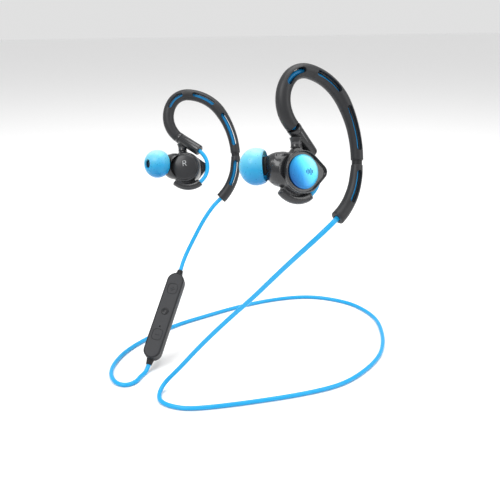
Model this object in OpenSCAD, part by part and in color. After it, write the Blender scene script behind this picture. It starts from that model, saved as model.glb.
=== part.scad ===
// Wireless behind-the-ear sport earphones: two mirrored earpieces on flexible hooks, joined by
// one round cord with an in-line remote. Millimetres, +Z up, the wearer faces -Y and the
// wearer's left is +X. The origin is midway between the two ears that hold the earpieces up.

/* [Cord] */
// Diameter of the round cord
cord_d = 1.9; // [1.7:0.1:2.1]

/* [Ear hook] */
// Diameter of the soft hook sleeve
hook_d = 5; // [4.6:0.1:5.2]
// Width of the long windows that show the cord
window_w = 2; // [1.8:0.1:2.2]
// Diameter of the rigid stalk
stalk_d = 5; // [4.8:0.1:5.2]

/* [Earbud] */
// Diameter of the round housing
body_d = 14.8; // [14.4:0.1:15]
// Diameter of the coloured face disc
disc_d = 12; // [11:0.5:12.5]
// Diameter of the inner cover
cover_d = 12; // [11.6:0.1:12.1]
// Diameter of the silicone ear tip
tip_d = 13; // [12:0.5:14]
// Outer diameter of the nozzle barrel that holds the tip
nozzle_d = 4.7; // [4.4:0.1:5]

/* [Remote] */
// Length of the remote's case
remote_l = 42.5; // [40:0.5:45]
// Width of the remote's case
remote_w = 8; // [8:0.1:9]
// Thickness of the remote's case
remote_t = 6; // [6:0.1:7]

/* [Hidden] */
SIDE_PARTS = ["hook", "hook_tail", "tail_joint", "hook_cord", "stalk", "stalk_collar",
              "swivel_post", "swivel_clip", "housing", "face_rim", "inner_cover", "face_disc", "speaker",
              "diaphragm", "nozzle", "nozzle_mesh", "ear_tip", "cord_gland", "cord_arc"];
REMOTE_PARTS = ["back_case", "front_frame", "button_skin", "volume_up_key", "call_button",
                "volume_down_key", "circuit_board", "key_switches", "battery", "microphone",
                "usb_socket", "port_cover", "top_relief", "bottom_relief"];
$fn = 48;

charcoal = "#3b3b3d";
dark = "#222224";
cyan = "#10a8d8";
steel = "#b8bcc0";
green = "#2f6b45";

run_gap = 0.05;   // radial clearance of a running or sliding fit
part_gap = 0.1;   // gap at a visible parting line
bore_r = cord_d / 2 + run_gap;
sleeve_bore_r = cord_d / 2 + 0.25;   // the soft sleeve lies loosely round the cord
overcut = 1;      // how far a cutting shape runs past the face it opens

// ---- The hook's centreline: five tangent arcs in a nearly upright plane -------------------
hook_start = [3, -2, 15.5];   // where the hook meets the stalk, from the housing's centre
hook_yaw = 3;                 // the hook's plane turns outward towards its rear
hook_heading = 134;           // direction in which the path leaves the stalk
hook_arcs = [[12.5, 81], [8.5, 63], [20, 52], [39, 42], [24, 38]];   // [radius, turn]
hook_l = arc_from(len(hook_arcs));
groove = [66.2, 67.8];        // narrow neck between the hook and its tail
hook_windows = [[15.2, 24.6], [29.3, 40.8], [46.4, 62.8]];
tail_windows = [[69.9, 82.2]];

function arc_len(i) = hook_arcs[i][0] * hook_arcs[i][1] * PI / 180;
function arc_from(i) = i == 0 ? 0 : arc_from(i - 1) + arc_len(i - 1);
function heading(i) = i == 0 ? hook_heading : heading(i - 1) - hook_arcs[i - 1][1];
function normal(a) = [cos(a + 90), sin(a + 90)];
function arc_centre(i) = i == 0 ? [0, hook_start.z] - hook_arcs[0][0] * normal(hook_heading)
    : arc_centre(i - 1) + (hook_arcs[i - 1][0] - hook_arcs[i][0]) * normal(heading(i));
function arc_at(s, i = 0) = i == len(hook_arcs) - 1 || s <= arc_from(i + 1) ? i : arc_at(s, i + 1);
function heading_at(s) = let (i = arc_at(s))
    heading(i) - (s - arc_from(i)) / hook_arcs[i][0] * 180 / PI;
function on_hook(s) = let (i = arc_at(s))
    arc_centre(i) + hook_arcs[i][0] * normal(heading_at(s));

// ---- Where things are, in the left earpiece's own frame (+X outward, -Y forward) -----------
stalk_end = [-0.8, 7.8, 7];
stalk_run = hook_start - stalk_end;
stalk_l = norm(stalk_run);
collar_l = 1.8;
neck_at = [2.4, -0.6];        // the swivel axis runs up through this point
neck_r = 1.9;
neck_foot = 8.4;              // height of the neck's lower face
neck_h = 2.6;                 // height of the neck above that face
boss_top = 8.25;              // top of the boss that the neck turns on
spigot_r = 1.2;               // the pin below the neck, which turns in the boss
spigot_foot = 4.1;            // lower end of the spigot inside the housing
clip_t = 0.5;
arc_at_x = -0.8;              // plane of the cord between the stalk and the chin
arc_middle = [1.5, 0.1];
arc_r = 9.1;
arc_span = [-63, 45.5];
chin_from = -135;
chin_r = 1.8;
gland_l = 4;                  // degrees of arc that the gland ring takes
tip_centre = [-6.1, -12, 2.8];
rim_x = 5.9;                  // outer face of the housing's rim
floor_x = 5;                  // recessed floor behind the rim
rim_back_x = 4.1;             // where the rim's plate closes the housing
cover_x = -3.3;               // edge of the inner cover
cover_crown = 1.1;            // rise of the inner cover's middle
cover_seat = 0.4;             // depth of the ledge that the inner cover lies on
body_r = body_d / 2;
cavity_r = 5.6;
bulge_centre = [-0.4, -4.8, 1.3];
bulge_r = 6.3;                // the ball that carries the nozzle
bulge_wall = 0.9;
lobe_r = 2.6;                 // small end of the egg-shaped rim
lobe_y = 7;
rim_w = 0.5;
tip_r = tip_d / 2;
nozzle_r = nozzle_d / 2;
nozzle_bore_r = 1.5;
nozzle_face = -4.3;           // where the nozzle leaves the housing, along its own axis
nozzle_root = [nozzle_r + 0.1, -7.2];   // radius and inner end of the root inside the housing
speaker_from = -9.4;
speaker_r = 2.5;
speaker_rim_r = 2.1;
tail_point = on_hook(hook_l);
tail_end = [hook_start.x + tail_point.x * sin(hook_yaw), hook_start.y + tail_point.x * cos(hook_yaw),
            tail_point.y];

// ---- How the pieces lie: each earpiece hangs from the end of its hook ----------------------
left_tail = [57.8, 22.4, -7];
left_turn = [-7, -16.5, 15];
right_tail = [-45.2, 7.4, -23.6];
right_turn = [9, -19.5, -21.5];
remote_top = [-40.5, -14, -56];
remote_turn = [-12, -43, -22];
relief_l = 2.5;

// ---- The cord's route, by hand -------------------------------------------------------------
cord_left_route = [
    left_tail, [59.6, 18, -9.8], [57.2, 12.5, -16], [46.5, 6.5, -28], [34, -1, -43], [23, -8.3, -56],
    [14, -17.5, -70], [8, -25.5, -82], [5, -31, -89], [8.5, -34.5, -91.8], [16, -35.5, -92],
    [22, -31, -92], [25.5, -24, -92], [27, -10, -92], [27.5, 8, -92], [27, 24, -92],
    [25, 38, -92], [20.5, 49, -92], [12, 61, -92], [2, 71, -92], [-11, 79, -92],
    [-26, 85, -92], [-41, 88, -92], [-58, 85, -92], [-69, 77, -92], [-76, 67, -92],
    [-78.5, 55, -92], [-77.5, 39, -92], [-73, 21, -92], [-67, 5, -92], [-60, -12, -92],
    [-50, -27, -92], [-38, -40.5, -92], [-26, -48.5, -92], [-15, -52, -92], [-6, -51, -92],
    [-2.5, -47, -92], [-4.5, -42.5, -92], [-8.6, -39.8, -92], [-12.1, -37, -92],
    [-14.8, -35, -90]];
cord_right_route = [
    right_tail, [-45.1, 3.4, -27.3], [-44.8, -1.6, -34], [-45, -6.3, -42.5], [-44, -11, -50.8],
    remote_top];

// ---- Placing ------------------------------------------------------------------------------
module left_ear() {
    translate(left_tail) rotate(left_turn) translate(-tail_end) children();
}
module right_ear() {
    translate(right_tail) rotate(right_turn) mirror([1, 0, 0]) translate(-tail_end) children();
}
// The remote's frame: +X out of its buttons, +Z up its length, the origin at its middle.
module remote() {
    translate(remote_top) rotate(remote_turn) translate([0, 0, -remote_l / 2 - relief_l]) children();
}
module along_x() {
    rotate([0, 90, 0]) children();
}
// The hook's plane drawn flat: its X runs back, its Y up and its Z outward.
module in_hook_plane() {
    translate([hook_start.x, hook_start.y, 0]) rotate([0, 0, -hook_yaw]) rotate([90, 0, 90]) children();
}
// The stalk's frame: the origin at the hook, +Z along the stalk towards the hook.
module in_stalk() {
    translate(hook_start)
        rotate([0, acos(stalk_run.z / stalk_l), atan2(stalk_run.y, stalk_run.x)]) children();
}
// The nozzle's frame: the origin at the tip's middle, +Z towards the ear canal.
module in_nozzle() {
    translate(tip_centre) rotate([0, -90, 45]) children();
}
module at_neck() {
    translate([neck_at.x, neck_at.y, 0]) children();
}

// ---- Sweeps -------------------------------------------------------------------------------
// Closes a skin over a row of rings that all have the same number of points.
module skin(rings) {
    sides = len(rings[0]);
    walls = [for (i = [0 : len(rings) - 2], k = [0 : sides - 1])
        let (a = i * sides, next = (k + 1) % sides)
            each [[a + k, a + next, a + sides + next], [a + k, a + sides + next, a + sides + k]]];
    first = [for (k = [sides - 1 : -1 : 0]) k];
    last = [for (k = [0 : sides - 1]) (len(rings) - 1) * sides + k];
    polyhedron([for (points = rings) each points], concat(walls, [first, last]));
}
// Sweeps a section along the hook between two distances. A section's points are [out, up]:
// out of the hook's plane, and square to the path within it.
function on_section(s, q) = let (c = on_hook(s), up = normal(heading_at(s)))
    [c.x + q[1] * up.x, c.y + q[1] * up.y, q[0]];
module along_hook(from, to, section) {
    count = ceil((to - from) / 2.5);
    in_hook_plane() skin([for (i = [0 : count]) let (s = from + (to - from) * i / count)
        [for (q = section) on_section(s, q)]]);
}
function round_section(d, sides) =
    [for (k = [0 : sides - 1]) let (a = (k + 0.5) * 360 / sides) d / 2 * [cos(a), sin(a)]];
// One long window through the sleeve, with round ends.
module window(from, to) {
    half = window_w / 2;
    along_hook(from + half, to - half, [[hook_d, -half], [hook_d, half], [-hook_d, half],
        [-hook_d, -half]]);
    in_hook_plane() for (s = [from + half, to - half])
        translate(on_hook(s)) cylinder(r = half, h = 2 * hook_d, center = true, $fn = 16);
}
// Sweeps a 2D section along the cord's arc behind the housing, between two angles.
module along_arc(from, to) {
    translate([arc_at_x, arc_middle.x, arc_middle.y]) rotate([90, 0, 90]) rotate([0, 0, from])
        rotate_extrude(angle = to - from, $fn = 96) translate([arc_r, 0]) children();
}

// ---- The free cord: one tube along a smooth curve through the route ------------------------
ring_sides = 8;
steps = 2;
function smooth(a, b, c, d, t) =
    0.5 * (2 * b + (c - a) * t + (2 * a - 5 * b + 4 * c - d) * t * t
           + (3 * b - a - 3 * c + d) * t * t * t);
function curve(p) = let (n = len(p) - 1)
    concat([for (i = [0 : n - 1], k = [0 : steps - 1])
               smooth(p[max(i - 1, 0)], p[i], p[i + 1], p[min(i + 2, n)], k / steps)], [p[n]]);
function unit(v) = v / norm(v);
function tangent(p, i) = unit(p[min(i + 1, len(p) - 1)] - p[max(i - 1, 0)]);
function ring(centre, dir) = let (side = unit(cross(dir, [0, 0, 1])), up = cross(side, dir))
    [for (k = [0 : ring_sides - 1]) let (a = (k + 0.5) * 360 / ring_sides)
        centre + cord_d / 2 * (cos(a) * side + sin(a) * up)];
module cord_tube(route) {
    p = curve(route);
    skin([for (i = [0 : len(p) - 1]) ring(p[i], tangent(p, i))]);
}

// Everything past the plane where the leaning stalk's collar meets the hook.
module beyond_mitre() {
    in_hook_plane() translate([0, hook_start.z]) rotate([0, 0, hook_heading])
        translate([0, -hook_d, -hook_d]) cube(2 * hook_d);
}

// ---- Ear hook -----------------------------------------------------------------------------
module sleeve(from, to, windows) {
    difference() {
        along_hook(from, to, round_section(hook_d, 20));
        along_hook(from - overcut, to + overcut, round_section(2 * sleeve_bore_r, 12));
        for (w = windows) window(w[0], w[1]);
    }
}
module hook() {
    color(charcoal) sleeve(0, groove[0], hook_windows);
}
module hook_tail() {
    color(charcoal) sleeve(groove[1], hook_l, tail_windows);
}
module tail_joint() {
    color(dark) difference() {
        along_hook(groove[0], groove[1], round_section(0.75 * hook_d, 16));
        along_hook(groove[0] - overcut, groove[1] + overcut, round_section(2 * bore_r, 12));
    }
}
module hook_cord() {
    color(cyan) {
        along_hook(0, hook_l, round_section(cord_d, 12));
        in_stalk() translate([0, 0, 0.5 - stalk_l]) cylinder(d = cord_d, h = stalk_l - 0.5, $fn = 12);
    }
}

// ---- Stalk and its swivel -----------------------------------------------------------------
module stalk() {
    chamfer = 0.4;
    color(charcoal) in_stalk() difference() {
        union() {
            translate([0, 0, -stalk_l + chamfer])
                cylinder(d = stalk_d, h = stalk_l - collar_l - chamfer);
            translate([0, 0, -stalk_l])
                cylinder(r1 = stalk_d / 2 - chamfer, r2 = stalk_d / 2, h = chamfer);
        }
        translate([0, 0, -stalk_l - overcut]) cylinder(r = bore_r, h = stalk_l + overcut);
    }
}
// The post is pressed into the stalk's wall, and the earbud turns on its spigot.
module swivel_post() {
    color(charcoal) at_neck() {
        translate([0, 0, neck_foot]) cylinder(r = neck_r, h = neck_h);
        translate([0, 0, spigot_foot]) cylinder(r = spigot_r, h = neck_foot - spigot_foot);
    }
}
module stalk_collar() {
    color(dark) difference() {
        in_stalk() translate([0, 0, -collar_l]) cylinder(d = stalk_d + 0.1, h = 2 * collar_l);
        in_stalk() translate([0, 0, -hook_d]) cylinder(r = sleeve_bore_r, h = 2 * hook_d);
        beyond_mitre();
    }
}
module swivel_clip() {
    color(steel) at_neck() translate([0, 0, spigot_foot + 0.1]) difference() {
        cylinder(r = spigot_r + 0.45, h = clip_t);
        translate([0, 0, -overcut]) cylinder(r = spigot_r, h = clip_t + 2 * overcut);
    }
}

// ---- Earbud -------------------------------------------------------------------------------
// The egg outline of the rim: a large circle, a small one behind it and their tangents.
function egg(big, small) = let (open = acos((big - small) / lobe_y))
    concat([for (a = [open : 6 : 360 - open]) big * [cos(a), sin(a)]],
           [for (a = [-open : 8 : open]) [lobe_y, 0] + small * [cos(a), sin(a)]]);
// Stands the egg outline across the X axis with its small end to the rear.
module egg_plate(big, small, from, to) {
    translate([from, 0, 0]) rotate([90, 0, 90]) linear_extrude(to - from) polygon(egg(big, small));
}
module behind_rim(size) {
    translate([rim_back_x - 2 * size, -size, -size]) cube(2 * size);
}
// The ball at the nozzle's root, cut flat at the nozzle, the rim and the inner cover. It is turned
// so that its poles lie clear of the edges of those cuts.
module bulge(inset) {
    intersection() {
        translate(bulge_centre) rotate([0, -90, 45]) sphere(r = bulge_r - inset);
        in_nozzle() translate([0, 0, nozzle_face - inset - 20]) cylinder(r = 12, h = 20);
        translate([cover_x - cover_crown + inset, -20, -20])
            cube([rim_back_x - cover_x + cover_crown - inset, 40, 40]);
    }
}
module body_shape() {
    along_x() rotate_extrude($fn = 72) polygon([[0, cover_x], [body_r - 1.1, cover_x],
        [body_r - 0.4, -2], [body_r, -0.5], [body_r, rim_back_x], [0, rim_back_x]]);
    bulge(0);
    intersection() {
        at_neck() translate([0, 0, 4]) cylinder(r1 = 3.4, r2 = neck_r + 0.1, h = boss_top - 4);
        behind_rim(10);
    }
    along_arc(chin_from, arc_span[0]) circle(r = chin_r);
}
module housing() {
    seat_x = cover_x + cover_seat;
    color(charcoal) difference() {
        body_shape();
        along_x() translate([0, 0, seat_x - 4]) cylinder(d = cover_d, h = 4);
        along_x() translate([0, 0, seat_x - overcut])
            cylinder(r = cavity_r, h = rim_back_x - seat_x + 2 * overcut);
        bulge(bulge_wall);
        at_neck() cylinder(r = spigot_r + run_gap, h = boss_top + overcut);
        in_nozzle() translate([0, 0, speaker_from]) cylinder(r = nozzle_root[0] + run_gap, h = 12);
        along_arc(-100, arc_span[0] + 5) circle(r = bore_r);
    }
}
module face_rim() {
    color(dark) difference() {
        egg_plate(body_r, lobe_r, rim_back_x, rim_x);
        egg_plate(body_r - rim_w, lobe_r - rim_w, floor_x, rim_x + overcut);
    }
}
function sag(u, dome_r) = dome_r - sqrt(dome_r * dome_r - u * u);
module inner_cover() {
    r = (cover_d - part_gap) / 2;
    low = cover_x - cover_crown;
    seat_x = cover_x + cover_seat;
    color(dark) along_x() rotate_extrude($fn = 72) polygon(concat([[0, seat_x]],
        [for (k = [0 : 6]) [r * k / 6, low + sag(r * k / 6, 26)]], [[r, seat_x]]));
}
module face_disc() {
    r = disc_d / 2;
    color(cyan) along_x() rotate_extrude($fn = 72) polygon(concat([[0, floor_x]], [[r, floor_x]],
        [for (k = [6 : -1 : 0]) [r * k / 6, rim_x + 0.3 - sag(r * k / 6, 40)]]));
}
module speaker() {
    depth = nozzle_root[1] - speaker_from;
    color(steel) in_nozzle() translate([0, 0, speaker_from]) difference() {
        cylinder(r = speaker_r, h = depth);
        translate([0, 0, depth - 0.5]) cylinder(r = speaker_rim_r, h = 2);
    }
}
module diaphragm() {
    color(dark) in_nozzle() translate([0, 0, nozzle_root[1] - 0.5]) {
        cylinder(r = speaker_rim_r - run_gap, h = 0.2);
        cylinder(r1 = 1.4, r2 = 1, h = 0.5);
    }
}
module nozzle() {
    collar_r = 3.3;
    tip_end = 4;
    color(dark) in_nozzle() difference() {
        union() {
            translate([0, 0, nozzle_root[1]])
                cylinder(r = nozzle_root[0], h = nozzle_face - nozzle_root[1] + 0.1);
            translate([0, 0, nozzle_face]) cylinder(r = collar_r, h = 2.8);
            translate([0, 0, nozzle_face]) cylinder(r = nozzle_r, h = tip_end - nozzle_face);
            translate([0, 0, 3]) cylinder(r = nozzle_r + 0.25, h = 0.5);
        }
        translate([0, 0, -10]) cylinder(r = nozzle_bore_r, h = 15);
        translate([0, 0, tip_end - 0.4]) cylinder(r = nozzle_bore_r + 0.3, h = 2);
    }
}
module nozzle_mesh() {
    color(steel) in_nozzle() translate([0, 0, 3.6]) cylinder(r = nozzle_bore_r + 0.25, h = 0.2);
}
// The silicone tip: a dome with an open skirt behind it, on a sleeve that grips the nozzle.
module ear_tip() {
    wall = 0.7;
    lip = 2;                  // radius of the sound opening
    sleeve_r = nozzle_r + 0.3;
    dome_top = tip_r - 0.7;
    outside = [for (a = [-30 : 5 : 70]) [tip_r * cos(a), a < 0 ? tip_r * sin(a) : dome_top * sin(a)]];
    inside = [for (a = [58 : -7 : -26]) [(tip_r - wall) * cos(a),
              (a < 0 ? tip_r - wall : dome_top - wall) * sin(a)]];
    color(cyan) in_nozzle() rotate_extrude($fn = 72) polygon(concat(
        [[sleeve_r, -1.2]], [[sleeve_r, 4.2], [lip, 4.6], [lip, dome_top]],
        [for (i = [len(outside) - 1 : -1 : 0]) outside[i]],
        [for (i = [len(inside) - 1 : -1 : 0]) inside[i]],
        [[sleeve_r + wall, 3.4], [sleeve_r + wall, -1.2]]));
}
module cord_gland() {
    color(dark) along_arc(arc_span[0], arc_span[0] + gland_l) difference() {
        circle(r = chin_r - 0.1);
        circle(r = bore_r);
    }
}
module cord_arc() {
    color(cyan) along_arc(arc_span[0] - 12, arc_span[1]) circle(d = cord_d);
}

// ---- Remote -------------------------------------------------------------------------------
shell_wall = 0.7;
frame_from = -0.4;            // where the front frame starts, from the case's middle plane
front_x = remote_t / 2;
skin_t = 0.8;
skin_inset = 0.45;
key_gap = 0.08;
up_z = 13;
call_z = 1.5;
mic_z = -6;
down_z = -10;
call_r = 1.6;
pad = [4.6, 5.2];             // width and length of a volume pad
usb_size = [2.2, 4.5, 7.5];   // height, depth and width of the charging socket
usb_at = [-1.15, -0.95, -6];
cover_size = [2.8, 0.5, 8.9];
cover_y = -remote_w / 2 - 0.1;   // outer face of the port's cover
hinge_room = 0.6;             // notch that the cover's lower end turns in
relief_root_r = 1.4;
// A stadium outline lying along the remote, inset by the given amount.
module stadium(inset, from, to) {
    r = remote_w / 2 - inset;
    half = remote_l / 2 - inset - r;
    translate([from, 0, 0]) along_x() linear_extrude(to - from) union() {
        square([2 * half, 2 * r], center = true);
        translate([half, 0]) circle(r = r);
        translate([-half, 0]) circle(r = r);
    }
}
module rounded_pad(size, grow, from, to) {
    r = 1.6 + grow;
    half = size / 2 + [grow - r, grow - r];
    translate([from, 0, 0]) along_x() linear_extrude(to - from) union() {
        square([2 * half.y, 2 * (half.x + r)], center = true);
        square([2 * (half.y + r), 2 * half.x], center = true);
        for (u = [-1, 1], v = [-1, 1]) translate([u * half.y, v * half.x]) circle(r = r);
    }
}
module end_holes() {
    cylinder(r = relief_root_r + run_gap, h = remote_l + 4 * overcut, center = true);
}
module port_block(grow) {
    translate(usb_at) cube(usb_size + grow * [1, 1, 1], center = true);
}
// The way in to the charging socket: its own outline, and a recess for the cover.
module port_opening() {
    recess = [cover_size.x + 2 * part_gap, 2 * cover_size.y, cover_size.z + part_gap + hinge_room];
    translate([0, -2, 0]) port_block(0);
    translate([usb_at.x - recess.x / 2, cover_y + cover_size.y + run_gap - recess.y,
               usb_at.z - cover_size.z / 2 - hinge_room]) cube(recess);
}
module back_case() {
    color(charcoal) difference() {
        stadium(0, -front_x, frame_from);
        stadium(shell_wall, -front_x + shell_wall, frame_from + overcut);
        end_holes();
        port_opening();
    }
}
module front_frame() {
    color(dark) difference() {
        stadium(0, frame_from, front_x);
        stadium(shell_wall, frame_from - overcut, front_x - skin_t - 0.4);
        stadium(skin_inset - part_gap, front_x - skin_t, front_x + overcut);
        stadium(shell_wall + 0.5, front_x - skin_t - overcut, front_x);
        end_holes();
        port_opening();
    }
}
module button_skin() {
    color(charcoal) difference() {
        stadium(skin_inset, front_x - skin_t, front_x);
        for (z = [up_z, down_z]) translate([0, 0, z])
            rounded_pad(pad, key_gap, front_x - skin_t - overcut, front_x + overcut);
        translate([0, 0, call_z]) along_x() cylinder(r = call_r + key_gap, h = front_x + overcut);
        translate([0, 0, mic_z]) along_x() cylinder(r = 0.35, h = front_x + overcut, $fn = 24);
    }
}
module mark_bar(size) {
    translate([front_x - 0.1, 0, 0]) cube([0.3, size.x, size.y], center = true);
}
module volume_key(z) {
    color(charcoal) translate([0, 0, z]) {
        rounded_pad(pad, 0, front_x - skin_t - 0.05, front_x - 0.05);
        children();
    }
}
module volume_up_key() {
    volume_key(up_z) {
        mark_bar([1.8, 0.4]);
        mark_bar([0.4, 1.8]);
    }
}
module volume_down_key() {
    volume_key(down_z) mark_bar([1.8, 0.4]);
}
module call_button() {
    color(dark) translate([0, 0, call_z]) difference() {
        along_x() translate([0, 0, front_x - skin_t - 0.05]) cylinder(r = call_r, h = skin_t + 0.2);
        translate([front_x + 1.2, 0, 0]) sphere(r = 1.5);
    }
}
module circuit_board() {
    color(green) stadium(1.2, 0.1, 0.7);
}
module key_switches() {
    color(steel) for (z = [up_z, call_z, down_z]) translate([0.7, 0, z]) along_x()
        cylinder(r1 = 1.3, r2 = 0.9, h = 1.1);
}
module battery() {
    color(steel) translate([-1.15, 0, 8]) cube([2.1, 5.6, 18], center = true);
}
module microphone() {
    color(steel) translate([0.7, 0, mic_z]) along_x() cylinder(r = 0.9, h = 0.9);
}
module usb_socket() {
    wall = 0.3;
    color(steel) difference() {
        port_block(0);
        translate([0, -1, 0]) port_block(-2 * wall);
        translate([0, -2, 0]) port_block(-2 * wall);
    }
}
module port_cover() {
    color(dark) translate([usb_at.x, cover_y + cover_size.y / 2, usb_at.z]) cube(cover_size, center = true);
}
module relief(up) {
    color(dark) mirror([0, 0, up ? 0 : 1]) translate([0, 0, remote_l / 2]) {
        translate([0, 0, -1]) cylinder(r = relief_root_r, h = 1.5);
        cylinder(r1 = 1.7, r2 = 1.25, h = relief_l);
    }
}

left_ear() hook();  // left_hook
left_ear() hook_tail();  // left_hook_tail
left_ear() tail_joint();  // left_tail_joint
left_ear() hook_cord();  // left_hook_cord
left_ear() stalk();  // left_stalk
left_ear() stalk_collar();  // left_stalk_collar
left_ear() swivel_post();  // left_swivel_post
left_ear() swivel_clip();  // left_swivel_clip
left_ear() housing();  // left_housing
left_ear() face_rim();  // left_face_rim
left_ear() inner_cover();  // left_inner_cover
left_ear() face_disc();  // left_face_disc
left_ear() speaker();  // left_speaker
left_ear() diaphragm();  // left_diaphragm
left_ear() nozzle();  // left_nozzle
left_ear() nozzle_mesh();  // left_nozzle_mesh
left_ear() ear_tip();  // left_ear_tip
left_ear() cord_gland();  // left_cord_gland
left_ear() cord_arc();  // left_cord_arc
right_ear() hook();  // right_hook
right_ear() hook_tail();  // right_hook_tail
right_ear() tail_joint();  // right_tail_joint
right_ear() hook_cord();  // right_hook_cord
right_ear() stalk();  // right_stalk
right_ear() stalk_collar();  // right_stalk_collar
right_ear() swivel_post();  // right_swivel_post
right_ear() swivel_clip();  // right_swivel_clip
right_ear() housing();  // right_housing
right_ear() face_rim();  // right_face_rim
right_ear() inner_cover();  // right_inner_cover
right_ear() face_disc();  // right_face_disc
right_ear() speaker();  // right_speaker
right_ear() diaphragm();  // right_diaphragm
right_ear() nozzle();  // right_nozzle
right_ear() nozzle_mesh();  // right_nozzle_mesh
right_ear() ear_tip();  // right_ear_tip
right_ear() cord_gland();  // right_cord_gland
right_ear() cord_arc();  // right_cord_arc
remote() back_case();  // remote_back_case
remote() front_frame();  // remote_front_frame
remote() button_skin();  // remote_button_skin
remote() volume_up_key();  // remote_volume_up_key
remote() call_button();  // remote_call_button
remote() volume_down_key();  // remote_volume_down_key
remote() circuit_board();  // remote_circuit_board
remote() key_switches();  // remote_key_switches
remote() battery();  // remote_battery
remote() microphone();  // remote_microphone
remote() usb_socket();  // remote_usb_socket
remote() port_cover();  // remote_port_cover
remote() relief(true);  // remote_top_relief
remote() relief(false);  // remote_bottom_relief
cord_tube(cord_left_route);  // cord_left
cord_tube(cord_right_route);  // cord_right
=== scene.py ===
"""The looks of the neckband earphones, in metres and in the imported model's frame.

Shapes are worked out in millimetres in three local frames (left ear, right ear, remote), and
each frame's matrix takes them to metres in the model's frame.
"""

from math import acos, atan2, ceil, cos, pi, radians, sin, sqrt

import bmesh
import bpy
from mathutils import Euler, Matrix, Vector


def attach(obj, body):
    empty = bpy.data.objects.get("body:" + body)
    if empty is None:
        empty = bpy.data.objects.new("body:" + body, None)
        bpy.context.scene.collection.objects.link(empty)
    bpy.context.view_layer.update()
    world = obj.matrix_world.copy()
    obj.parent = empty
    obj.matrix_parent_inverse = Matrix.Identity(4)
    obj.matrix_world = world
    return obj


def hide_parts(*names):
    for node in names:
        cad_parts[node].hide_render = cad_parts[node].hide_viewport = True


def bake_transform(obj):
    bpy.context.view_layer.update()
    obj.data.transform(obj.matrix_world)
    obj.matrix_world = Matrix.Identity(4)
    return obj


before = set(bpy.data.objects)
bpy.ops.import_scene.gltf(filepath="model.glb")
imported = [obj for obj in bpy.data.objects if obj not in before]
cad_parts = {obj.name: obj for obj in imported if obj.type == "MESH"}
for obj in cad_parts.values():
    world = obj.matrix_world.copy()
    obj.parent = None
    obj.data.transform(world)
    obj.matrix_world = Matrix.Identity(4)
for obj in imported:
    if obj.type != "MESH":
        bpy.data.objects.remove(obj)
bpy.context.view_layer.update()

MM = 0.001
FLOOR_Z = -0.093
HEADSET = "headset"

# ---- The local frames, as in the design ---------------------------------------------------
HOOK_START = Vector((3, -2, 15.5))
HOOK_YAW = 3
HOOK_HEADING = 134
HOOK_ARCS = ((12.5, 81), (8.5, 63), (20, 52), (39, 42), (24, 38))
TAIL_END = Vector((3.856, 14.332, -16.196))
STALK_END = Vector((-0.8, 7.8, 7))
TIP_CENTRE = Vector((-6.1, -12, 2.8))
NECK = (2.4, -0.6)
ARC_X = -0.8
ARC_MIDDLE = (1.5, 0.1)
ARC_R = 9.1
LEFT_TAIL = Vector((57.8, 22.4, -7))
RIGHT_TAIL = Vector((-45.2, 7.4, -23.6))
REMOTE_TOP = Vector((-40.5, -14, -56))
REMOTE_L = 42.5
REMOTE_W = 8
RELIEF_L = 2.5
CORD_D = 1.9
BODY_R = 7.4
RIM_X = 5.9
FLOOR_X = 5
RIM_BACK_X = 4.1
COVER_X = -3.3
COVER_LOW = COVER_X - 1.1
COVER_DOME_R = 26
SEAT_X = -2.9
DISC_CROWN = RIM_X + 0.3
DISC_DOME_R = 40


def turned(angles):
    return Euler([radians(a) for a in angles], "XYZ").to_matrix().to_4x4()


def moved(v):
    return Matrix.Translation(Vector(v))


METRES = Matrix.Scale(MM, 4)
MIRROR = Matrix.Scale(-1, 4, Vector((1, 0, 0)))
EAR = {
    "left": METRES @ moved(LEFT_TAIL) @ turned((-7, -16.5, 15)) @ moved(-TAIL_END),
    "right": METRES @ moved(RIGHT_TAIL) @ turned((9, -19.5, -21.5)) @ MIRROR @ moved(-TAIL_END),
}
REMOTE = (METRES @ moved(REMOTE_TOP) @ turned((-12, -43, -22))
          @ moved((0, 0, -REMOTE_L / 2 - RELIEF_L)))
ALONG_X = turned((0, 90, 0))
HOOK_PLANE = moved((HOOK_START.x, HOOK_START.y, 0)) @ turned((0, 0, -HOOK_YAW)) @ turned((90, 0, 90))
STALK_RUN = HOOK_START - STALK_END
STALK_L = STALK_RUN.length
IN_STALK = moved(HOOK_START) @ Euler((0, acos(STALK_RUN.z / STALK_L),
                                      atan2(STALK_RUN.y, STALK_RUN.x)), "XYZ").to_matrix().to_4x4()
IN_NOZZLE = moved(TIP_CENTRE) @ turned((0, -90, 45))
AT_NECK = moved((NECK[0], NECK[1], 0))
IN_ARC = moved((ARC_X, ARC_MIDDLE[0], ARC_MIDDLE[1])) @ turned((90, 0, 90))


# ---- Camera, light and floor ---------------------------------------------------------------
def add_camera():
    data = bpy.data.cameras.new("camera")
    data.sensor_width = 36
    data.lens = 56
    data.clip_start = 0.01
    camera = bpy.data.objects.new("camera", data)
    camera.location = (0.301, -0.084, 0.067)
    camera.rotation_euler = (radians(72), 0, radians(73))
    bpy.context.collection.objects.link(camera)
    bpy.context.scene.camera = camera


def add_area(name, place, target, size, power):
    data = bpy.data.lights.new(name, "AREA")
    data.shape = "RECTANGLE"
    data.size = size[0]
    data.size_y = size[1]
    data.energy = power
    light = bpy.data.objects.new(name, data)
    light.location = place
    light.rotation_euler = (Vector(place) - Vector(target)).to_track_quat("Z", "Y").to_euler()
    bpy.context.collection.objects.link(light)


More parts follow.
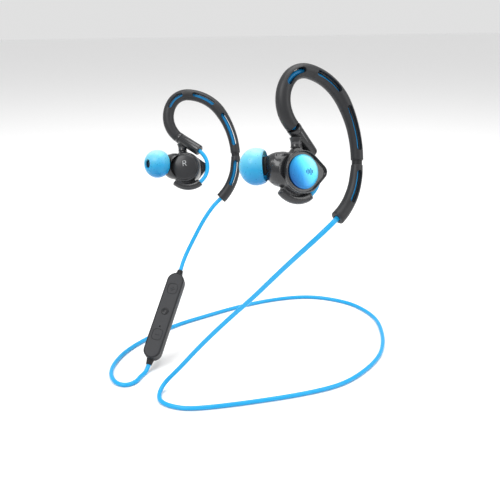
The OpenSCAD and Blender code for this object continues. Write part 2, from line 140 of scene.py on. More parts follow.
def add_studio():
    world = bpy.data.worlds.new("studio")
    world.use_nodes = True
    back = world.node_tree.nodes["Background"]
    back.inputs["Color"].default_value = (1, 1, 1, 1)
    back.inputs["Strength"].default_value = 0.75
    bpy.context.scene.world = world
    add_area("key", (0.25, -0.45, 0.5), (0, 0, 0), (0.35, 0.35), 2.6)
    add_area("side", (0.35, 0.45, 0.25), (0, 0, 0), (0.15, 0.5), 0.9)
    add_area("top", (-0.1, 0.1, 0.7), (0, 0, -0.05), (0.6, 0.6), 4)
    bpy.context.scene.view_settings.view_transform = "Standard"


# ---- Mesh helpers -------------------------------------------------------------------------
def add_rings(bm, rings, loop=False):
    """Joins rings of equal count with faces, and closes the ends unless the rings form a loop."""
    rows = [[bm.verts.new(p) for p in ring] for ring in rings]
    count = len(rows[0])
    following = rows[1:] + ([rows[0]] if loop else [])
    for a, b in zip(rows, following):
        for k in range(count):
            bm.faces.new((a[k], a[(k + 1) % count], b[(k + 1) % count], b[k]))
    if not loop:
        bm.faces.new(rows[0])
        bm.faces.new(rows[-1])


def lathe(bm, profile, place=Matrix(), loop=False, sides=64):
    """Turns (radius, height) pairs about the local Z axis."""
    add_rings(bm, [[place @ Vector((r * cos(2 * pi * k / sides), r * sin(2 * pi * k / sides), z))
                    for k in range(sides)] for r, z in profile], loop)


def tube(bm, points, radius, sides=24, place=Matrix()):
    """A tube of a given radius, or one radius per point, with no twist along the path."""
    points = [Vector(p) for p in points]
    radii = radius if isinstance(radius, list) else [radius] * len(points)
    last = len(points) - 1
    ways = [(points[min(i + 1, last)] - points[max(i - 1, 0)]).normalized() for i in range(last + 1)]
    side = ways[0].orthogonal().normalized()
    rings = []
    for point, way, r in zip(points, ways, radii):
        side = (side - way * side.dot(way)).normalized()
        up = way.cross(side)
        rings.append([place @ (point + r * (cos(a) * side + sin(a) * up))
                      for a in (2 * pi * k / sides for k in range(sides))])
    add_rings(bm, rings)


def block(bm, low, high, place=Matrix()):
    rings = [[place @ Vector((x, y, z)) for x, y in ((low[0], low[1]), (high[0], low[1]),
                                                     (high[0], high[1]), (low[0], high[1]))]
             for z in (low[2], high[2])]
    add_rings(bm, rings)


def to_object(bm, name, place, sharp=35):
    """Moves a local mesh into the model's frame, faces it outward and creases its hard edges."""
    bm.transform(place)
    bmesh.ops.recalc_face_normals(bm, faces=bm.faces)
    crease(bm, sharp)
    mesh = bpy.data.meshes.new(name)
    bm.to_mesh(mesh)
    bm.free()
    piece = bpy.data.objects.new(name, mesh)
    bpy.context.collection.objects.link(piece)
    return piece


def crease(bm, sharp):
    for face in bm.faces:
        face.smooth = True
    for edge in bm.edges:
        edge.smooth = not (edge.is_manifold and edge.calc_face_angle(0) > radians(sharp))


def apply_modifiers(piece, sharp=35):
    graph = bpy.context.evaluated_depsgraph_get()
    mesh = bpy.data.meshes.new_from_object(piece.evaluated_get(graph))
    piece.modifiers.clear()
    piece.data = mesh
    bm = bmesh.new()
    bm.from_mesh(mesh)
    crease(bm, sharp)
    bm.to_mesh(mesh)
    bm.free()


def cut(piece, cutter):
    """Takes the cutter's volume out of the piece."""
    step = piece.modifiers.new("cut", "BOOLEAN")
    step.operation = "DIFFERENCE"
    step.solver = "EXACT"
    step.use_self = True
    step.object = cutter
    apply_modifiers(piece)
    bpy.data.objects.remove(cutter)


def soften(piece, width, segments=2):
    """Rounds the hard edges by a small radius."""
    step = piece.modifiers.new("soften", "BEVEL")
    step.width = width
    step.segments = segments
    step.limit_method = "ANGLE"
    step.angle_limit = radians(40)
    step.harden_normals = False
    apply_modifiers(piece)


def dress(piece, material, slot, body, *nodes):
    """Gives a piece its material and its body, and hides the CAD nodes that it stands for; the slot is
    not used.
    """
    piece.data.materials.clear()
    piece.data.materials.append(material)
    if body:
        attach(piece, body)
    if nodes:
        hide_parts(*nodes)


# ---- Materials ----------------------------------------------------------------------------
def add_node(tree, kind, **values):
    node = tree.nodes.new(kind)
    for name, value in values.items():
        node.inputs[name.replace("_", " ")].default_value = value
    return node


def plastic(name, dark, light, roughness, grain, bump=0.08, coat=0.0, metallic=0.0, spread=0.08):
    """A moulded surface: its colour drifts between two tones and a fine grain breaks its gloss."""
    material = bpy.data.materials.new(name)
    material.use_nodes = True
    tree = material.node_tree
    shader = tree.nodes["Principled BSDF"]
    shader.inputs["Metallic"].default_value = metallic
    shader.inputs["Coat Weight"].default_value = coat
    shader.inputs["Coat Roughness"].default_value = 0.15
    shader.inputs["Specular IOR Level"].default_value = 0.35
    place = tree.nodes.new("ShaderNodeTexCoord")
    drift = add_node(tree, "ShaderNodeTexNoise", Scale=220.0, Detail=4.0)
    fine = add_node(tree, "ShaderNodeTexNoise", Scale=grain, Detail=3.0)
    tone = tree.nodes.new("ShaderNodeMix")
    tone.data_type = "RGBA"
    tone.inputs["A"].default_value = (*dark, 1)
    tone.inputs["B"].default_value = (*light, 1)
    rough = tree.nodes.new("ShaderNodeMapRange")
    rough.inputs["To Min"].default_value = roughness - spread
    rough.inputs["To Max"].default_value = roughness + spread
    relief = add_node(tree, "ShaderNodeBump", Strength=bump, Distance=0.00005)
    link = tree.links.new
    link(place.outputs["Object"], drift.inputs["Vector"])
    link(place.outputs["Object"], fine.inputs["Vector"])
    link(drift.outputs["Fac"], tone.inputs["Factor"])
    link(tone.outputs["Result"], shader.inputs["Base Color"])
    link(fine.outputs["Fac"], rough.inputs["Value"])
    link(rough.outputs["Result"], shader.inputs["Roughness"])
    link(fine.outputs["Fac"], relief.inputs["Height"])
    link(relief.outputs["Normal"], shader.inputs["Normal"])
    return material


def graded(material, place, start, end, stops):
    """Replaces the drifting colour with one that runs through stops from start to end."""
    tree = material.node_tree
    shader = tree.nodes["Principled BSDF"]
    coords = tree.nodes.new("ShaderNodeTexCoord")
    a = place @ Vector(start)
    b = place @ Vector(end)
    along = add_node(tree, "ShaderNodeVectorMath")
    along.operation = "DOT_PRODUCT"
    step = (b - a) / (b - a).length_squared
    along.inputs[1].default_value = step
    shift = tree.nodes.new("ShaderNodeMapRange")
    shift.inputs["From Min"].default_value = a.dot(step)
    shift.inputs["From Max"].default_value = b.dot(step)
    ramp = tree.nodes.new("ShaderNodeValToRGB")
    ramp.color_ramp.elements[0].position = stops[0][0]
    ramp.color_ramp.elements[0].color = (*stops[0][1], 1)
    ramp.color_ramp.elements[1].position = stops[-1][0]
    ramp.color_ramp.elements[1].color = (*stops[-1][1], 1)
    for position, colour in stops[1:-1]:
        ramp.color_ramp.elements.new(position).color = (*colour, 1)
    link = tree.links.new
    link(coords.outputs["Object"], along.inputs[0])
    link(along.outputs["Value"], shift.inputs["Value"])
    link(shift.outputs["Result"], ramp.inputs["Fac"])
    link(ramp.outputs["Color"], shader.inputs["Base Color"])
    return material


def silicone(name, side):
    """Translucent cyan silicone with painted light: a painted highlight pales the top of the dome and
    painted shade deepens it below.
    """
    material = plastic(name, (0.1, 0.62, 0.85), (0.2, 0.72, 0.9), 0.3, 1500.0, bump=0.03)
    # Painted highlight towards the top of the dome, painted shade towards its underside.
    graded(material, EAR[side] @ moved(TIP_CENTRE), (0, 0, -6), (0, 0, 6),
           ((0, (0.01, 0.28, 0.62)), (0.35, (0.03, 0.45, 0.78)), (0.75, (0.22, 0.72, 0.9)),
            (1, (0.55, 0.88, 0.96))))
    shader = material.node_tree.nodes["Principled BSDF"]
    shader.inputs["Transmission Weight"].default_value = 0.35
    shader.inputs["IOR"].default_value = 1.41
    shader.inputs["Subsurface Weight"].default_value = 0.3
    shader.inputs["Subsurface Radius"].default_value = (0.001, 0.002, 0.003)
    return material


SOFT = plastic("soft_charcoal", (0.013, 0.0135, 0.015), (0.020, 0.0205, 0.023), 0.46, 2600.0, bump=0.12)
SATIN = plastic("satin_charcoal", (0.010, 0.0105, 0.012), (0.015, 0.0155, 0.018), 0.27, 3200.0,
                bump=0.04, coat=0.35)
COVER = plastic("cover_charcoal", (0.012, 0.0125, 0.014), (0.018, 0.0185, 0.021), 0.36, 3000.0,
                bump=0.05, coat=0.15)
DARK = plastic("dark_plastic", (0.005, 0.005, 0.006), (0.009, 0.009, 0.010), 0.5, 2400.0)
CORD = plastic("blue_jacket", (0.006, 0.30, 0.62), (0.010, 0.36, 0.70), 0.34, 1800.0, bump=0.06)
# A darker copy of the cord's blue: painted shade for the stretch that runs inside the hook's bore and
# stalk.
CORD_PAINTED_SHADE = plastic("blue_jacket_painted_shade", (0.004, 0.20, 0.50), (0.008, 0.27, 0.60), 0.4, 1800.0)
REMOTE_BODY = plastic("remote_charcoal", (0.013, 0.0135, 0.015), (0.019, 0.0195, 0.022), 0.42, 2600.0)
REMOTE_SKIN = plastic("remote_skin", (0.020, 0.0205, 0.023), (0.028, 0.029, 0.032), 0.55, 2200.0,
                      bump=0.15)
STEEL = plastic("brushed_metal", (0.45, 0.45, 0.47), (0.62, 0.62, 0.64), 0.3, 2600.0, metallic=1.0)
MARK = plastic("pale_mark", (0.42, 0.43, 0.44), (0.52, 0.53, 0.54), 0.5, 2600.0)
BOARD = plastic("green_board", (0.01, 0.12, 0.05), (0.02, 0.2, 0.08), 0.4, 1800.0)


# ---- Cords --------------------------------------------------------------------------------
LEFT_ROUTE = (
    (57.8, 22.4, -7), (59.6, 18, -9.8), (57.2, 12.5, -16), (46.5, 6.5, -28), (34, -1, -43),
    (23, -8.3, -56), (14, -17.5, -70), (8, -25.5, -82), (5, -31, -89), (8.5, -34.5, -91.8),
    (16, -35.5, -92), (22, -31, -92), (25.5, -24, -92), (27, -10, -92), (27.5, 8, -92),
    (27, 24, -92), (25, 38, -92), (20.5, 49, -92), (12, 61, -92), (2, 71, -92), (-11, 79, -92),
    (-26, 85, -92), (-41, 88, -92), (-58, 85, -92), (-69, 77, -92), (-76, 67, -92),
    (-78.5, 55, -92), (-77.5, 39, -92), (-73, 21, -92), (-67, 5, -92), (-60, -12, -92),
    (-50, -27, -92), (-38, -40.5, -92), (-26, -48.5, -92), (-15, -52, -92), (-6, -51, -92),
    (-2.5, -47, -92), (-4.5, -42.5, -92), (-8.6, -39.8, -92), (-12.1, -37, -92), (-14.8, -35, -90))
RIGHT_ROUTE = (
    (-45.2, 7.4, -23.6), (-45.1, 3.4, -27.3), (-44.8, -1.6, -34), (-45, -6.3, -42.5),
    (-44, -11, -50.8), (-40.5, -14, -56))


def smooth_path(route, steps=10, passes=12):
    """A smooth curve through the route's points, with its small wiggles relaxed."""
    route = [Vector(p) for p in route]
    last = len(route) - 1
    points = []
    for i in range(last):
        a, b, c, d = route[max(i - 1, 0)], route[i], route[i + 1], route[min(i + 2, last)]
        for k in range(steps):
            t = k / steps
            points.append(0.5 * (2 * b + (c - a) * t + (2 * a - 5 * b + 4 * c - d) * t * t
                                 + (3 * b - a - 3 * c + d) * t ** 3))
    points.append(route[-1])
    for _ in range(passes):
        middle = [0.25 * points[i - 1] + 0.5 * points[i] + 0.25 * points[i + 1]
                  for i in range(1, len(points) - 1)]
        points = [points[0]] + middle + [points[-1]]
    return points


def curve_cord(name, points, radius):
    data = bpy.data.curves.new(name, "CURVE")
    data.dimensions = "3D"
    data.bevel_depth = radius
    data.bevel_resolution = 5
    data.use_fill_caps = True
    spline = data.splines.new("POLY")
    spline.points.add(len(points) - 1)
    for target, point in zip(spline.points, points):
        target.co = (*point, 1)
    spline.use_smooth = True
    piece = bpy.data.objects.new(name, data)
    bpy.context.collection.objects.link(piece)
    return piece


def free_cord(name, route, node):
    points = [MM * p for p in smooth_path(route)]
    piece = curve_cord(name, points, CORD_D / 2 * MM)
    dress(piece, CORD, "cord_jacket", HEADSET, node)


add_camera()
add_studio()
free_cord("neck_cord_left", LEFT_ROUTE, "cord_left")
free_cord("neck_cord_right", RIGHT_ROUTE, "cord_right")


# ---- Ear hooks ----------------------------------------------------------------------------
def hook_point(s):
    """The place on the hook's centreline a distance s along it, and the direction there."""
    at = Vector((0, HOOK_START.z, 0))
    heading = HOOK_HEADING
    for index, (r, turn) in enumerate(HOOK_ARCS):
        length = radians(r * turn)
        here = min(s, length) if index < len(HOOK_ARCS) - 1 else s
        centre = at - r * Vector((cos(radians(heading + 90)), sin(radians(heading + 90)), 0))
        heading -= here / r * 180 / pi
        at = centre + r * Vector((cos(radians(heading + 90)), sin(radians(heading + 90)), 0))
        s -= here
        if s <= 0:
            break
    return at, radians(heading)


HOOK_L = sum(radians(r * turn) for r, turn in HOOK_ARCS)
GROOVE = (66.2, 67.8)
HOOK_WINDOWS = ((15.2, 24.6), (29.3, 40.8), (46.4, 62.8))
TAIL_WINDOW = (69.9, 82.2)
WINDOW_W = 2
BORE_R = 1.3
HOOK_RADII = ((0, 2.5), (6, 2.62), (42, 2.62), (56, 2.3), (66.2, 2.25), (67.8, 2.1), (72, 2.3),
              (82, 2.45), (89.7, 2.6))


def hook_radius(s):
    for (a, ra), (b, rb) in zip(HOOK_RADII, HOOK_RADII[1:]):
        if s <= b:
            t = (s - a) / (b - a)
            return ra + (rb - ra) * t * t * (3 - 2 * t)
    return HOOK_RADII[-1][1]


def spread(start, end, gap):
    count = ceil((end - start) / gap)
    return [start + (end - start) * i / count for i in range(count + 1)]


def hook_ring(s, r, sides=32, inward=0.0):
    at, heading = hook_point(s)
    up = Vector((-sin(heading), cos(heading), 0))
    out = Vector((0, 0, 1))
    return [HOOK_PLANE @ (at - inward * up + r * (cos(a) * out + sin(a) * up))
            for a in (2 * pi * k / sides for k in range(sides))]


def rounded_sleeve(bm, start, end, edge):
    """A soft tube with a bore, whose ends are rounded over by edge."""
    outside = [hook_ring(start + edge * (1 - cos(a)), hook_radius(start) - edge * (1 - sin(a)))
               for a in (0, pi / 6, pi / 3)]
    outside += [hook_ring(s, hook_radius(s)) for s in spread(start + edge, end - edge, 1.0)]
    outside += [hook_ring(end - edge * (1 - sin(a)), hook_radius(end) - edge * (1 - cos(a)))
                for a in (pi / 6, pi / 3, pi / 2)]
    inside = [hook_ring(s, BORE_R) for s in reversed(spread(start, end, 1.0))]
    add_rings(bm, outside + inside, loop=True)


def slot_side(start, end, offset):
    """Points along the hook, set off to one side of its centreline."""
    points = []
    for s in spread(start, end, 1.0):
        at, heading = hook_point(s)
        points.append(at + offset * Vector((-sin(heading), cos(heading), 0)))
    return points


def slot_end(s, first):
    """The slot's round end, clockwise from the angle first."""
    at, heading = hook_point(s)
    angles = [heading + radians(first - 180 * k / 8) for k in range(1, 8)]
    return [at + WINDOW_W / 2 * Vector((cos(a), sin(a), 0)) for a in angles]


def window_cutter(bm, start, end):
    """A slot with round ends that passes right through the sleeve."""
    half = WINDOW_W / 2
    low = start + half
    high = end - half
    outline = (slot_side(low, high, half) + slot_end(high, 90)
               + slot_side(low, high, -half)[::-1] + slot_end(low, -90))
    add_rings(bm, [[HOOK_PLANE @ (p + Vector((0, 0, z))) for p in outline] for z in (-5, 5)])


def windowed_sleeve(name, side, start, end, windows, edge, node):
    bm = bmesh.new()
    rounded_sleeve(bm, start, end, edge)
    piece = to_object(bm, name, EAR[side])
    bm = bmesh.new()
    for window in windows:
        window_cutter(bm, *window)
    cut(piece, to_object(bm, "cutter", EAR[side]))
    soften(piece, 0.12 * MM)
    dress(piece, SOFT, "soft_sleeve", HEADSET, node)


def add_hook(side):
    windowed_sleeve(f"{side}_soft_hook", side, 0.1, GROOVE[0], HOOK_WINDOWS, 0.25, f"{side}_hook")
    windowed_sleeve(f"{side}_soft_tail", side, GROOVE[1], HOOK_L, (TAIL_WINDOW,), 0.35,
                    f"{side}_hook_tail")
    low = GROOVE[0] - 0.3
    high = GROOVE[1] + 0.3
    bm = bmesh.new()
    add_rings(bm, [hook_ring(s, r) for s, r in ((low, 1.35), (low, 1.85), (high, 1.85), (high, 1.35))],
              loop=True)
    dress(to_object(bm, f"{side}_neck_joint", EAR[side]), DARK, "dark_plastic", HEADSET,
          f"{side}_tail_joint")
    # The cord within the hook and stalk takes the darker blue, as painted shade inside the bore.
    bm = bmesh.new()
    add_rings(bm, [hook_ring(s, CORD_D / 2, 20, inward=0.25 * min(1, s / 6, (HOOK_L - s) / 6))
                   for s in spread(0, HOOK_L, 1.0)])
    lathe(bm, [(CORD_D / 2, z) for z in (0.5 - STALK_L, -6, 0)], IN_STALK, sides=20)
    dress(to_object(bm, f"{side}_hook_wire", EAR[side]), CORD_PAINTED_SHADE, "cord_jacket", HEADSET,
          f"{side}_hook_cord")


# ---- Stalk, collar and the short cord behind the housing -----------------------------------
def add_stalk(side):
    bm = bmesh.new()
    low = -STALK_L
    lathe(bm, [(1.05, low), (2.0, low), (2.2, low + 0.06), (2.42, low + 0.25), (2.48, low + 0.55),
               (2.5, low + 1), (2.52, -2.2), (2.45, -2.05), (1.05, -2.05)], IN_STALK, loop=True)
    lathe(bm, [(1.9, 8.4), (2.05, 8.42), (2.1, 8.6), (1.95, 9.1), (1.85, 10), (2.0, 11), (2.3, 12)],
          AT_NECK, sides=48)
    lathe(bm, [(1.2, 4.1), (1.2, 8.6)], AT_NECK, sides=24)
    dress(to_object(bm, f"{side}_stalk_tube", EAR[side]), SATIN, "satin_plastic", HEADSET,
          f"{side}_stalk")
    bm = bmesh.new()
    lathe(bm, [(1.3, -1.95), (2.42, -1.95), (2.56, -1.85), (2.6, -1.6), (2.6, -0.5), (2.5, -0.3),
               (2.3, -0.25), (1.3, -0.25)], IN_STALK, loop=True)
    dress(to_object(bm, f"{side}_collar_ring", EAR[side]), SATIN, "dark_plastic", HEADSET,
          f"{side}_stalk_collar")


def arc_point(angle):
    return IN_ARC @ Vector((ARC_R * cos(radians(angle)), ARC_R * sin(radians(angle)), 0))


def add_short_cord(side):
    into_stalk = [STALK_END + STALK_RUN.normalized() * d for d in (1.4, 0.5)]
    points = into_stalk + [arc_point(a) for a in range(42, -78, -4)]
    bm = bmesh.new()
    tube(bm, smooth_path(points, steps=3, passes=4), 0.92, sides=20)
    piece = to_object(bm, f"{side}_short_cord", EAR[side])
    dress(piece, CORD, "cord_jacket", None, f"{side}_cord_arc")
    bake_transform(piece)


# ---- Earbuds ------------------------------------------------------------------------------
LOBE_R = 2.6
LOBE_Y = 7


def egg(inset, x, steps=14):
    """The rim's outline: a large circle with a small one behind it, joined by their tangents."""
    big = BODY_R - inset
    small = LOBE_R - inset
    opening = acos((big - small) / LOBE_Y)
    points = []
    for i in range(4 * steps + 1):
        a = opening + (2 * pi - 2 * opening) * i / (4 * steps)
        points.append((x, big * cos(a), big * sin(a)))
    for i in range(steps + 1):
        a = -opening + 2 * opening * i / steps
        points.append((x, LOBE_Y + small * cos(a), small * sin(a)))
    return [Vector(p) for p in points]


def add_housing(side):
    """One smooth skin: turned body, nozzle ball, neck boss and chin, blended and then hollowed."""
    bm = bmesh.new()
    lathe(bm, [(0.5, COVER_X), (6.1, COVER_X), (6.45, -3.2), (6.8, -2.7), (7.1, -1.8), (7.35, -0.5),
               (BODY_R, 1), (BODY_R, RIM_BACK_X), (0.5, RIM_BACK_X)], ALONG_X)
    ball = [(6.2 * cos(radians(a)), 6.2 * sin(radians(a))) for a in range(-88, 70, 8)]
    lathe(bm, ball, moved((-0.5, -4.7, 1.3)) @ IN_NOZZLE.to_3x3().to_4x4(), sides=48)
    lathe(bm, [(4.6, -8), (4.2, -6), (3.4, -4.3)], IN_NOZZLE)
    lathe(bm, [(3.6, 4), (3.0, 6.6), (2.35, 7.6), (2.05, 8.2)], AT_NECK, sides=40)
    tube(bm, [arc_point(a) for a in range(-140, -61, 6)] + [arc_point(-63)], 1.85, sides=24)
    piece = to_object(bm, f"{side}_housing_skin", EAR[side])
    remesh = piece.modifiers.new("blend", "REMESH")
    remesh.mode = "VOXEL"
    remesh.voxel_size = 0.24 * MM
    relax = piece.modifiers.new("relax", "SMOOTH")
    relax.factor = 0.5
    relax.iterations = 14
    apply_modifiers(piece, sharp=60)
    bm = bmesh.new()
    lathe(bm, [(6.1, -8), (6.1, SEAT_X), (5.6, SEAT_X), (5.6, 3.9), (7.2, 3.9), (9, 3.9), (13, 3.9),
               (13, 9), (2, 9), (2, -8)], ALONG_X, loop=True)
    lathe(bm, [(2.5, -9), (2.5, 9)], ALONG_X)
    cut(piece, to_object(bm, "cutter", EAR[side]))
    bm = bmesh.new()
    lathe(bm, [(1.27, 3), (1.27, 12)], AT_NECK, sides=24)
    cut(piece, to_object(bm, "cutter", EAR[side]))
    bm = bmesh.new()
    tube(bm, [arc_point(a) for a in range(-100, -50, 6)], 1.02, sides=20)
    cut(piece, to_object(bm, "cutter", EAR[side]))
    dress(piece, SATIN, "satin_plastic", f"{side}_earbud", f"{side}_housing")


def add_rim(side):
    bm = bmesh.new()
    back = RIM_BACK_X - 0.15
    add_rings(bm, [egg(0.25, back), egg(0.05, back + 0.1), egg(0, back + 0.3), egg(0, RIM_X - 0.35),
                   egg(0.05, RIM_X - 0.15), egg(0.15, RIM_X - 0.03), egg(0.28, RIM_X),
                   egg(0.4, RIM_X - 0.04), egg(0.48, RIM_X - 0.15), egg(0.5, FLOOR_X + 0.15),
                   egg(0.6, FLOOR_X + 0.02), egg(1.0, FLOOR_X)])
    dress(to_object(bm, f"{side}_egg_rim", EAR[side]), SATIN, "satin_plastic", f"{side}_earbud",
          f"{side}_face_rim")


def cover_height(r):
    """The domed cover's surface at a distance r from its middle."""
    return COVER_LOW + COVER_DOME_R - sqrt(COVER_DOME_R ** 2 - r * r)


def add_cover(side):
    bm = bmesh.new()
    dome = [(r, cover_height(r)) for r in (0.4, 1.5, 2.5, 3.5, 4.5, 5.3)]
    lathe(bm, dome + [(5.6, COVER_LOW + 0.66), (5.85, COVER_LOW + 0.82), (5.97, COVER_LOW + 1.05),
                      (5.98, SEAT_X), (0.4, SEAT_X)], ALONG_X, sides=80)
    piece = to_object(bm, f"{side}_domed_cover", EAR[side])
    dress(piece, COVER, "cover_plastic", f"{side}_earbud", f"{side}_inner_cover")


# Plain strokes for the side letters, as (right, up) in millimetres.
SIDE_STROKES = {
    "left": (((0, 2.4), (0, 0), (1.4, 0)),),
    "right": (((0, 0), (0, 2.4), (0.9, 2.4), (1.35, 2.15), (1.45, 1.8), (1.35, 1.45), (0.9, 1.2),
               (0.05, 1.2)), ((0.8, 1.2), (1.5, 0))),
}


def add_side_mark(side):
    """The generic left or right letter, a thin raised stroke on the inner cover."""
    flip = -1 if side == "left" else 1
    bm = bmesh.new()
    for stroke in SIDE_STROKES[side]:
        points = []
        for u, v in stroke:
            y = flip * (u - 0.3)
            z = v + 0.3
            points.append((cover_height(sqrt(y * y + z * z)) - 0.02, y, z))
        tube(bm, points, 0.13, sides=8)
    piece = to_object(bm, f"{side}_side_mark", EAR[side])
    dress(piece, MARK, "cover_plastic", f"{side}_earbud")


def disc_height(r):
    """The coloured disc's surface at a distance r from its middle."""
    return DISC_CROWN - DISC_DOME_R + sqrt(DISC_DOME_R ** 2 - r * r)


def add_disc(side):
    bm = bmesh.new()
    dome = [(r, disc_height(r)) for r in (0.4, 1.5, 3, 4.2, 5.1, 5.45)]
    lathe(bm, dome + [(5.7, DISC_CROWN - 0.5), (5.9, DISC_CROWN - 0.62), (5.98, DISC_CROWN - 0.8),
                      (5.98, FLOOR_X), (0.4, FLOOR_X)], ALONG_X, sides=96)
    # The disc's colour is painted reflection: it runs from dark navy at one edge to pale cyan at the
    # other, in place of the lamps mirrored in its metal.
    disc_painted_reflection = plastic(f"{side}_disc_metal", (0.02, 0.3, 0.55), (0.03, 0.4, 0.65), 0.3, 2600.0,
                    bump=0.05, coat=0.5, metallic=0.55)
    graded(disc_painted_reflection, EAR[side], (5, -4.5, -4), (5, 4.5, 3),
           ((0, (0.006, 0.10, 0.36)), (0.35, (0.008, 0.24, 0.58)), (0.7, (0.03, 0.46, 0.74)),
            (1, (0.25, 0.72, 0.88))))
    dress(to_object(bm, f"{side}_coloured_disc", EAR[side]), disc_painted_reflection, "disc_metal",
          f"{side}_earbud", f"{side}_face_disc")
    add_level_bars(side)


LEVEL_BARS = (0.9, 1.9, 1.3, 2.4, 1.1)
BAR_PITCH = 0.62


def add_level_bars(side):
    """Five plain raised bars on the disc, in place of its mark."""
    bm = bmesh.new()
    for i, height in enumerate(LEVEL_BARS):
        y = 0.6 + BAR_PITCH * i
        surface = disc_height(y)
        rings = [[Vector((x, y + u, v)) for u, v in ((-w, -h), (w, -h), (w, h), (-w, h))]
                 for x, w, h in ((surface - 0.2, 0.17, height / 2), (surface + 0.05, 0.17, height / 2),
                                 (surface + 0.1, 0.12, height / 2 - 0.05))]
        add_rings(bm, rings)
    bars = plastic(f"{side}_bar_tone", (0.01, 0.12, 0.3), (0.02, 0.16, 0.36), 0.35, 2600.0)
    dress(to_object(bm, f"{side}_level_bars", EAR[side]), bars, "disc_metal", f"{side}_earbud")


def add_nozzle(side):
    bm = bmesh.new()
    lathe(bm, [(1.5, -7.2), (2.45, -7.2), (2.45, -4.35), (3.1, -4.35), (3.28, -4.2), (3.3, -3.8),
               (3.22, -3.2), (3.26, -2.6), (3.2, -1.8), (2.9, -1.52), (2.35, -1.5), (2.35, 2.9),
               (2.55, 3.05), (2.6, 3.25), (2.5, 3.5), (2.35, 3.55), (2.3, 4), (1.75, 4), (1.75, 3.6),
               (1.5, 3.6)], IN_NOZZLE, loop=True)
    dress(to_object(bm, f"{side}_nozzle_barrel", EAR[side]), DARK, "dark_plastic",
          f"{side}_earbud", f"{side}_nozzle")


def add_tip(side):
    """The silicone tip: a sleeve on the nozzle, folded back over a dome that ends in a skirt."""
    def shell(r_wide, r_high, angles):
        return [(r_wide * cos(radians(a)), (r_high if a > 0 else r_wide) * sin(radians(a)))
                for a in angles]
    dome = shell(6.5, 5.8, range(66, -31, -4))
    under = shell(5.85, 5.1, range(-30, 58, 6))
    bm = bmesh.new()
    lathe(bm, [(2.65, -1.2), (2.65, 4.2), (2.1, 4.4), (2.0, 4.7), (2.0, 5.2), (2.1, 5.42),
               (2.35, 5.48)] + dome + [(5.3, -3.45)] + under
          + [(3.1, 4.1), (3.05, 3.6), (3.05, -1.0), (2.95, -1.18)],
          IN_NOZZLE, loop=True, sides=80)
    dress(to_object(bm, f"{side}_silicone_tip", EAR[side], sharp=80), silicone(f"{side}_silicone", side),
          "tip_silicone", f"{side}_earbud", f"{side}_ear_tip")


for side in ("left", "right"):
    add_hook(side)
    add_stalk(side)
    add_short_cord(side)
    add_housing(side)
    add_rim(side)
    add_cover(side)
    add_side_mark(side)
    add_disc(side)
    add_nozzle(side)
    add_tip(side)


# ---- Remote -------------------------------------------------------------------------------
JOIN_X = -0.4


def stadium(inset, x, steps=14):
    """The remote's outline at a height x above its middle, drawn in by inset."""
    r = REMOTE_W / 2 - inset
    half = (REMOTE_L - REMOTE_W) / 2
    ring = []
    for end in (1, -1):
        for k in range(steps + 1):
            a = pi * k / steps
            ring.append(Vector((x, end * r * cos(a), end * (half + r * sin(a)))))
    return ring


def port_cutter():
    bm = bmesh.new()
    block(bm, (-2.65, -4.7, -11.05), (0.35, -3.55, -1.45))
    block(bm, (-2.25, -5, -9.75), (-0.05, -3, -2.25))
    return to_object(bm, "cutter", REMOTE)


def add_remote_case():
    bm = bmesh.new()
    add_rings(bm, [stadium(1.3, -3), stadium(0.8, -2.93), stadium(0.4, -2.7), stadium(0.15, -2.35),
                   stadium(0.02, -1.9), stadium(0, -1.4), stadium(0, JOIN_X - 0.12),
                   stadium(0.1, JOIN_X - 0.02), stadium(0.7, JOIN_X - 0.02), stadium(0.7, -2.3)])
    piece = to_object(bm, "remote_case_shell", REMOTE)
    cut(piece, port_cutter())
    dress(piece, REMOTE_BODY, "remote_plastic", HEADSET, "remote_back_case")
    bm = bmesh.new()
    add_rings(bm, [stadium(0.7, JOIN_X + 0.02), stadium(0.1, JOIN_X + 0.02), stadium(0, JOIN_X + 0.12),
                   stadium(0, 2.6), stadium(0.04, 2.8), stadium(0.12, 2.94), stadium(0.22, 3.0),
                   stadium(0.32, 2.96), stadium(0.36, 2.85), stadium(0.36, 2.2), stadium(1.2, 2.2),
                   stadium(1.2, 1.8), stadium(0.7, 1.8)], loop=True)
    piece = to_object(bm, "remote_frame_shell", REMOTE)
    cut(piece, port_cutter())
    dress(piece, REMOTE_BODY, "remote_frame", HEADSET, "remote_front_frame")


RIB_PITCH = 0.85
PORT_SPAN = (-12, -0.8)


def add_side_ribs():
    """Fine slanting ribs along both side walls of the frame, with a gap round the port."""
    bm = bmesh.new()
    for side in (-1, 1):
        for i in range(int((REMOTE_L - REMOTE_W) / RIB_PITCH)):
            z = -REMOTE_L / 2 + REMOTE_W / 2 + (i + 0.5) * RIB_PITCH
            if side < 0 and PORT_SPAN[0] < z < PORT_SPAN[1]:
                continue
            y = side * REMOTE_W / 2
            rings = [[Vector((x, y + side * h, z + lean + w)) for h, w in ((-0.1, -0.17), (0.07, -0.08),
                                                                          (0.07, 0.08), (-0.1, 0.17))]
                     for x, lean in ((0.1, -0.45), (1.2, 0), (2.4, 0.45))]
            add_rings(bm, rings)
    dress(to_object(bm, "remote_side_ribs", REMOTE), REMOTE_BODY, "remote_frame", HEADSET)


def rounded_pad(bm, z, size, corner, levels, steps=6):
    """A pad with round corners; levels are (x, inset) pairs."""
    rings = []
    for x, inset in levels:
        ring = []
        for quarter, (sy, sz) in enumerate(((1, 1), (-1, 1), (-1, -1), (1, -1))):
            for k in range(steps + 1):
                a = pi / 2 * (quarter + k / steps)
                ring.append(Vector((x, sy * (size[0] / 2 - corner) + (corner - inset) * cos(a),
                                    z + sz * (size[1] / 2 - corner) + (corner - inset) * sin(a))))
        rings.append(ring)
    add_rings(bm, rings)


UP_Z = 13
CALL_Z = 1.5
MIC_Z = -6
DOWN_Z = -10


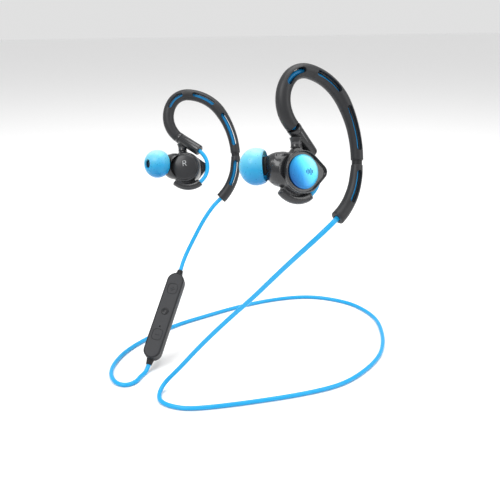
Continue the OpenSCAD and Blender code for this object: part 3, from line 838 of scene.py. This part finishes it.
def add_remote_skin():
    bm = bmesh.new()
    add_rings(bm, [stadium(0.45, 2.2), stadium(0.45, 2.85), stadium(0.5, 2.95), stadium(0.62, 3.0),
                   stadium(1.2, 3.03), stadium(2.2, 3.05)])
    piece = to_object(bm, "remote_soft_skin", REMOTE)
    bm = bmesh.new()
    for z in (UP_Z, DOWN_Z):
        rounded_pad(bm, z, (4.76, 5.36), 1.68, ((1, 0), (4, 0)))
    lathe(bm, [(1.68, 1), (1.68, 4)], moved((0, 0, CALL_Z)) @ ALONG_X, sides=40)
    lathe(bm, [(0.35, 1), (0.35, 4)], moved((0, 0, MIC_Z)) @ ALONG_X, sides=20)
    cut(piece, to_object(bm, "cutter", REMOTE))
    dress(piece, REMOTE_SKIN, "remote_skin", HEADSET, "remote_button_skin")


def add_key(name, z, bars):
    bm = bmesh.new()
    rounded_pad(bm, z, (4.6, 5.2), 1.6, ((2.15, 0), (2.9, 0), (2.98, 0.08), (3.02, 0.25), (3.04, 0.8)))
    for width, height in bars:
        rings = [[Vector((x, u, z + v)) for u, v in ((-a, -b), (a, -b), (a, b), (-a, b))]
                 for x, a, b in ((2.9, width / 2, height / 2), (3.17, width / 2, height / 2),
                                 (3.24, width / 2 - 0.08, height / 2 - 0.08))]
        add_rings(bm, rings)
    dress(to_object(bm, f"{name}_pad", REMOTE), REMOTE_SKIN, "remote_skin", name, f"remote_{name}")


def add_call_button():
    bm = bmesh.new()
    lathe(bm, [(1.6, 2.15), (1.6, 3.1), (1.52, 3.25), (1.35, 3.3), (1.15, 3.22), (0.9, 3.05),
               (0.55, 2.92), (0.2, 2.88)], moved((0, 0, CALL_Z)) @ ALONG_X)
    dress(to_object(bm, "call_button_cap", REMOTE), REMOTE_BODY, "remote_skin", "call_button",
          "remote_call_button")


def add_relief(name, node, way):
    """A tapered strain relief with ring grooves."""
    foot = REMOTE_L / 2
    bm = bmesh.new()
    profile = [(1.4, -1), (1.4, -0.25), (1.72, -0.2), (1.75, 0.2), (1.62, 0.55), (1.5, 0.6), (1.5, 0.8),
               (1.6, 0.85), (1.5, 1.3), (1.38, 1.35), (1.38, 1.55), (1.46, 1.6), (1.36, 2.3),
               (1.2, 2.5)]
    lathe(bm, profile, Matrix.Scale(way, 4, Vector((0, 0, 1))) @ moved((0, 0, foot)), sides=40)
    dress(to_object(bm, name, REMOTE), DARK, "dark_plastic", HEADSET, node)


add_remote_case()
add_side_ribs()
add_remote_skin()
add_key("volume_up_key", UP_Z, ((1.9, 0.42), (0.42, 1.9)))
add_key("volume_down_key", DOWN_Z, ((1.9, 0.42),))
add_call_button()
add_relief("remote_top_boot", "remote_top_relief", 1)
add_relief("remote_bottom_boot", "remote_bottom_relief", -1)


# ---- CAD pieces that keep their shape ------------------------------------------------------
def paint(node, material):
    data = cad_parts[node].data
    data.materials.clear()
    data.materials.append(material)


for side in ("left", "right"):
    for part in ("swivel_clip", "speaker", "nozzle_mesh"):
        paint(f"{side}_{part}", STEEL)
    paint(f"{side}_diaphragm", DARK)
    paint(f"{side}_cord_gland", SATIN)
for part in ("key_switches", "microphone", "usb_socket", "battery"):
    paint(f"remote_{part}", STEEL)
paint("remote_circuit_board", BOARD)
paint("remote_port_cover", SOFT)


# ---- Floor --------------------------------------------------------------------------------
def add_floor():
    """A flat, pale sheet, wide enough to run past the edges of the view."""
    bm = bmesh.new()
    bmesh.ops.create_grid(bm, x_segments=8, y_segments=8, size=3)
    floor = to_object(bm, "floor", moved((0, 0, FLOOR_Z)))
    material = plastic("pale_floor", (0.93, 0.93, 0.93), (0.95, 0.95, 0.95), 0.7, 60.0, bump=0.0)
    floor.data.materials.append(material)


add_floor()
